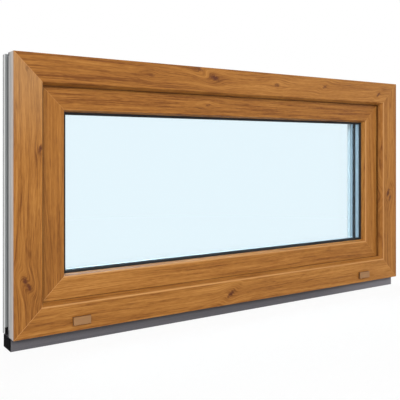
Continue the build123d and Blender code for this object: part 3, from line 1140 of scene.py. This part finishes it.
@dataclass
class Seals:
    """The gaskets, with a rounded lip on the weather-side glazing gasket."""

    nodes: Nodes
    shape: WindowShape
    sight_line: float = 131.5 * MM
    leg_back: float = 37 * MM
    glass_front: float = 42 * MM
    root: float = 3 * MM
    root_depth: float = 2.2 * MM
    lip: float = 6.5 * MM
    arc_steps: int = 8
    # Level above the sill up to which the brown seal's painted light is full.
    lit_top: float = 80 * MM
    relief: float = 0.05 * MM
    cell: float = 0.6 * MM

    def _section(self) -> list[tuple[float, float]]:
        """The gasket's section, with a quarter round lip.

        Returns:
            Its corners, as inset and depth.
        """
        near = self.sight_line - self.root
        points = [
            (near - 2 * self.root, self.glass_front), (near - self.root, self.leg_back),
            (near - self.root, self.leg_back - self.root_depth), (near, self.leg_back - self.root_depth),
            (near, self.leg_back), (self.sight_line, self.leg_back)]
        tall = self.glass_front - self.leg_back
        for step in range(1, self.arc_steps + 1):
            turn = math.pi / 2 * step / self.arc_steps
            out = self.sight_line + self.lip * math.sin(turn)
            points.append((out, self.glass_front - tall * math.cos(turn)))
        return points

    def glazing_gasket(self, rubber: bpy.types.Material) -> bpy.types.Object:
        """Makes the weather-side glazing gasket as one mitred loop.

        Args:
            rubber: The finish.

        Returns:
            The gasket.
        """
        section = self._section()
        shape = self.shape
        points = []
        for side, up in ((-1, -1), (1, -1), (1, 1), (-1, 1)):
            for inset, depth in section:
                x = side * (shape.half_width - inset)
                z = shape.bottom + inset if up < 0 else shape.top - inset
                points.append((x, shape.front + depth, z))
        count = len(section)
        faces = []
        for corner in range(4):
            here = corner * count
            there = (corner + 1) % 4 * count
            for place in range(count):
                after = (place + 1) % count
                faces.append((here + place, here + after, there + after, there + place))
        mesh = bpy.data.meshes.new("gasket_lip")
        mesh.from_pydata(points, [], faces)
        mesh.materials.append(rubber)
        mesh.validate()
        return link("glazing_gasket_weather", mesh)

    def dress(self) -> None:
        """Gives the gaskets their rubber and puts the rounded one in place."""
        rubber = MouldedPlastic((0.014, 0.014, 0.015), 0.6, 0.12, self.relief, self.cell, 0.2)
        rubber = rubber.material("gasket_rubber")
        dress(self.nodes["gasket_glass_weather"], rubber)
        middle = (self.shape.bottom + self.shape.top) / 2
        brown = SeamRubber(self.shape.bottom + self.lit_top, middle).material("gasket_brown")
        dress(self.nodes["gasket_frame"], brown)
        pale = MouldedPlastic((0.86, 0.87, 0.87), 0.6, 0.04, self.relief, self.cell).material("gasket_grey")
        for name in ("gasket_glass_room", "gasket_sash"):
            dress(self.nodes[name], pale)
        gasket = self.glazing_gasket(rubber)
        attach(gasket, BODY)
        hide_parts("gasket_glass_weather")
        LOG.info("%s replaces the plain gasket", gasket.name)


@dataclass
class Fittings:
    """Beads, drain caps, base profile, setting blocks and keeps."""

    nodes: Nodes
    shape: WindowShape
    white: Colour = (0.81, 0.825, 0.825)

    def dress(self) -> None:
        """Gives each fitting its finish."""
        bead = MouldedPlastic(self.white, 0.28, 0.02).material("bead_white")
        cap = CapPlastic(self.shape).material("cap_brown")
        block = MouldedPlastic((0.03, 0.035, 0.04), 0.5).material("setting_block")
        zinc = Metal((0.55, 0.56, 0.57), 0.4).material("keep_zinc")
        half_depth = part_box("base_profile")[1].y
        base = BaseSkin(self.shape.half_width, half_depth, self.shape.bottom).material("base_skin")
        finishes = {"bead_": bead, "drain_cap_": cap, "setting_block_": block, "keep_": zinc, "base_": base}
        for start, material in finishes.items():
            for name in sorted(self.nodes):
                if name.startswith(start):
                    dress(self.nodes[name], material)


@dataclass(frozen=True)
class Lamp:
    """A square soft lamp.

    Attributes:
        name: Its name.
        place: Where it hangs.
        size: Length of its side.
        power: Its power in watts.
    """

    name: str
    place: tuple[float, float, float]
    size: float
    power: float

    def hang(self, aim: Vector) -> None:
        """Hangs the lamp.

        Args:
            aim: The point it faces.
        """
        light = bpy.data.lights.new(self.name, "AREA")
        light.shape = "SQUARE"
        light.size = self.size
        light.energy = self.power
        made = link(self.name, light)
        made.location = self.place
        made.rotation_euler = (aim - made.location).to_track_quat("-Z", "Y").to_euler()


@dataclass
class Studio:
    """Pale floor and world, soft lamps and the camera."""

    front: float
    eye_side: float = -1.0865
    eye_away: float = 1.398
    eye_level: float = 0.4572
    bearing: float = 33.84
    lens: float = 56.618
    drop: float = -0.1248
    aim_level: float = 0.34
    lamps: tuple[Lamp, ...] = (
        Lamp("key", (-2.6, -4.0, 2.1), 3.0, 190.0),
        Lamp("fill", (3.4, -3.4, 2.2), 2.4, 30.0),
        Lamp("back", (1.0, 2.8, 3.7), 2.0, 105.0))
    floor_size: float = 30.0
    floor_white: float = 0.95
    floor_bounce: float = 0.65
    floor_glow: float = 0.93
    glow_near: float = 0.9
    glow_far: float = 2.6
    world_light: float = 0.35

    def _seen(self, shader: Shader) -> Signal:
        """Tells the rays that show the background, from the camera, in a gloss or through glass.

        Args:
            shader: The node tree.

        Returns:
            1 for those rays and 0 for the rest.
        """
        names = ("Is Camera Ray", "Is Glossy Ray", "Is Transmission Ray")
        first, second, third = (shader.node("LightPath", output=name) for name in names)
        return first.most(second).most(third)

    def floor(self) -> None:
        """Makes the floor, which keeps the window's shadow."""
        half = self.floor_size / 2
        corners = [(-half, -half, 0), (half, -half, 0), (half, half, 0), (-half, half, 0)]
        mesh = bpy.data.meshes.new("floor")
        mesh.from_pydata(corners, [], [(0, 1, 2, 3)])
        shader = Shader("floor_white")
        dull = shader.node("BsdfDiffuse", {"Color": (*[self.floor_bounce] * 3, 1.0)})
        matt = shader.node("BsdfDiffuse", {"Color": (*[self.floor_white] * 3, 1.0)})
        glow = shader.node("Emission", {"Color": (1.0, 1.0, 1.0, 1.0), "Strength": 1.0})
        x, y, _ = shader.place()
        away = shader.math("SQRT", x * x + y * y).above(self.glow_near, self.glow_far)
        shown = shader.mix(self.floor_glow + away * (1.0 - self.floor_glow), matt, glow)
        mesh.materials.append(shader.finish(shader.mix(self._seen(shader), dull, shown)))
        link("floor", mesh)

    def world(self) -> None:
        """Makes the world: white to look at, and a soft light."""
        world = bpy.data.worlds.new("studio")
        shader = Shader("studio", world)
        white = (1.0, 1.0, 1.0, 1.0)
        soft = shader.node("Background", {"Color": white, "Strength": self.world_light})
        full = shader.node("Background", {"Color": white, "Strength": 1.0})
        shader.end("OutputWorld", shader.mix(self._seen(shader), soft, full))
        bpy.context.scene.world = world

    def camera(self) -> None:
        """Sets the camera at the photograph's place."""
        data = bpy.data.cameras.new("camera")
        data.lens = self.lens
        data.shift_y = self.drop
        data.clip_end = 100.0
        made = link("camera", data)
        made.location = (self.eye_side, self.front - self.eye_away, self.eye_level)
        made.rotation_euler = (math.radians(90.0), 0.0, -math.radians(self.bearing))
        bpy.context.scene.camera = made

    def build(self) -> None:
        """Makes the whole studio."""
        self.floor()
        self.world()
        for lamp in self.lamps:
            lamp.hang(Vector((0.0, 0.0, self.aim_level)))
        self.camera()
        bpy.context.scene.view_settings.view_transform = "Standard"


def main() -> None:
    """Builds the looks and the studio, and notes the sizes."""
    logging.basicConfig(level=logging.INFO, format="%(name)s: %(message)s")
    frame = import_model()
    nodes = frame["nodes"]
    low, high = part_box("frame_sill")
    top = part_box("frame_head")[1].z
    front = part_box("frame_head")[0].y
    shape = WindowShape(high.x, low.z, top, front)
    Profiles(nodes, shape).dress()
    glazing = Glazing(nodes, front)
    glazing.dress()
    glazing.slits()
    Seals(nodes, shape).dress()
    Fittings(nodes, shape).dress()
    Studio(front).build()


if __name__ == "__main__":
    main()
